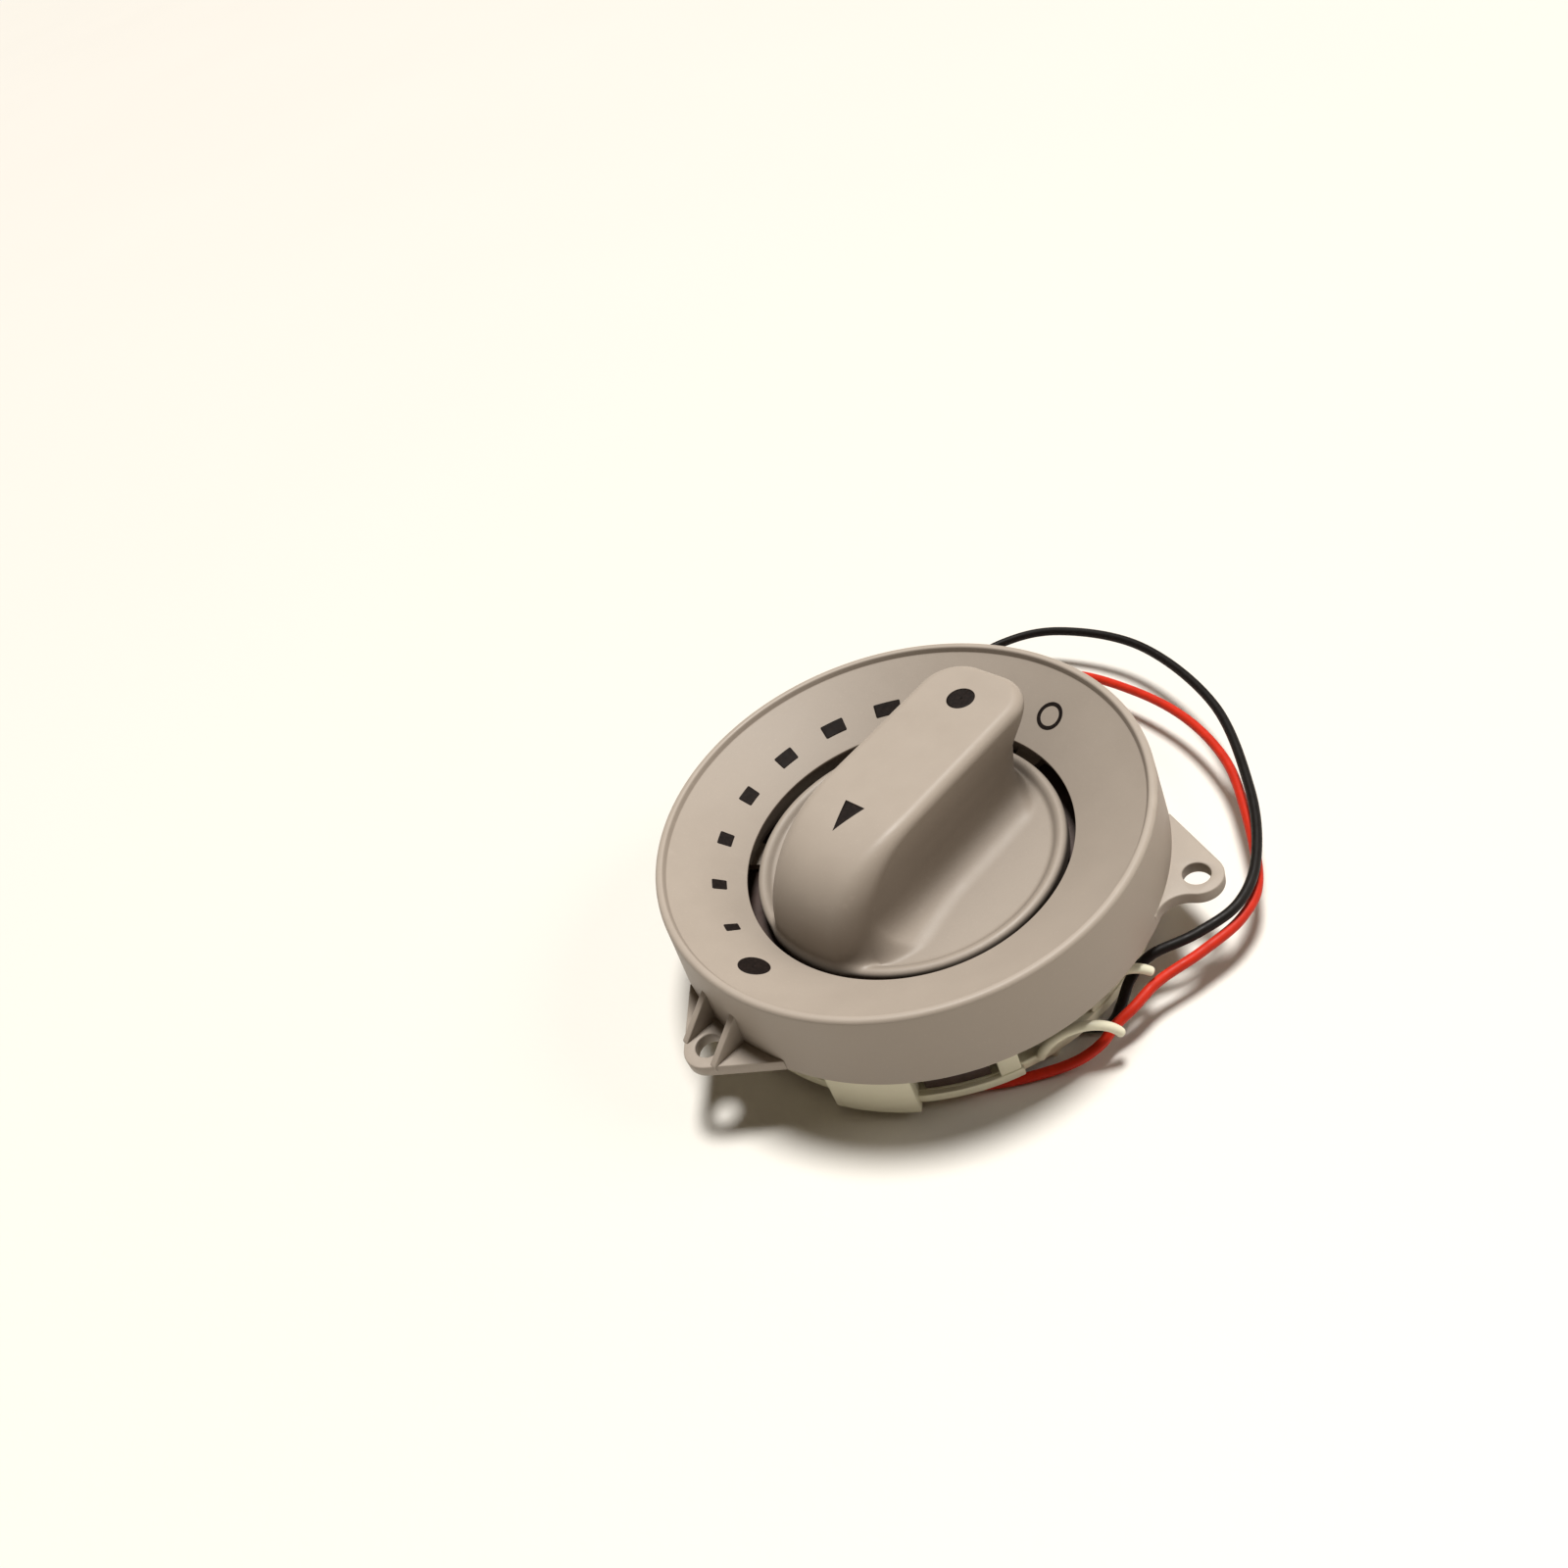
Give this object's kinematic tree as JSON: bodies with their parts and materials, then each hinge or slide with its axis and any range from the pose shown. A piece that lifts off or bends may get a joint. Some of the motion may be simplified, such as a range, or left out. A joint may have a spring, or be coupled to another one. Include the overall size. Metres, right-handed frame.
{
  "type": "battery switch",
  "caption": "Panel rotary battery switch: round dished dial with graduated bars, bar-grip knob, side screw lugs, enclosed contact housing and thin wire leads at the back.",
  "frame": {"origin": "centre of the mounting plane, which is the underside of the bezel's skirt and screw lugs", "axes": "+Z along the knob's axis towards the front; the screw lugs lie at 90, 210 and 330 degrees from +X; the leads leave at the back on the +X side"},
  "size_m": [0.1264, 0.1212, 0.0411],
  "materials": {
    "bezel_plastic": "fine matt moulded grain",
    "knob_plastic": "satin moulded, lightly polished by use",
    "dial_print": "pad-printed ink",
    "cream_plastic": "unpainted moulding",
    "phenolic": "compression moulded, dull",
    "rotor_plastic": "moulded",
    "board": "laminate",
    "carbon_track": "fired carbon film",
    "pvc_black": "extruded insulation",
    "pvc_red": "extruded insulation",
    "seal_rubber": "matt",
    "brass": "turned",
    "copper": "rolled strip",
    "spring_steel": "bright",
    "spindle_steel": "turned",
    "screw_steel": "zinc plated",
    "tinned_sleeve": "tinned"
  },
  "bodies": {
    "base": {"bezel": "bezel_plastic", "dial_marks": "dial_print", "bearing_bush": "brass", "housing_lid": "phenolic", "contact_housing": "phenolic", "contact_board": "board", "resistor_track": "carbon_track", "common_ring": "copper", "detent_spring": "spring_steel", "detent_plug": "spindle_steel", "lever_post": "brass", "contact_post": "brass", "terminal_pins": "brass", "housing_screws": "screw_steel", "rear_carrier": "cream_plastic", "lead_black": "pvc_black", "lead_red": "pvc_red", "lead_cores": "copper", "lead_ferrules": "tinned_sleeve"},
    "knob_assembly": {"knob": "knob_plastic", "knob_marks": "dial_print", "knob_clip": "spring_steel", "spindle": "spindle_steel", "spindle_seal": "seal_rubber", "wave_washer": "spring_steel", "circlip": "spring_steel", "rotor": "rotor_plastic", "wiper": "copper"},
    "ball": {"detent_ball": "spring_steel"},
    "lever": {"contact_lever": "copper"}
  },
  "joints": [
    {"name": "knob_turn", "type": "hinge", "parent": "base", "child": "knob_assembly", "pos_m": [0, 0, 0], "axis": [0, 0, 1], "range_deg": [-191, 0]},
    {"name": "ball_slide", "type": "slide", "parent": "base", "child": "ball", "axis": [1, 0, 0], "range_m": [-0.0008, 0]},
    {"name": "lever_swing", "type": "hinge", "parent": "base", "child": "lever", "pos_m": [-0.0305, -0.018, -0.0053], "axis": [0, 0, 1], "range_deg": [-3.9, 0]}
  ],
  "couplings": [
    {"joint": "lever_swing", "follows": "knob_turn", "ratio": 0.02}
  ]
}
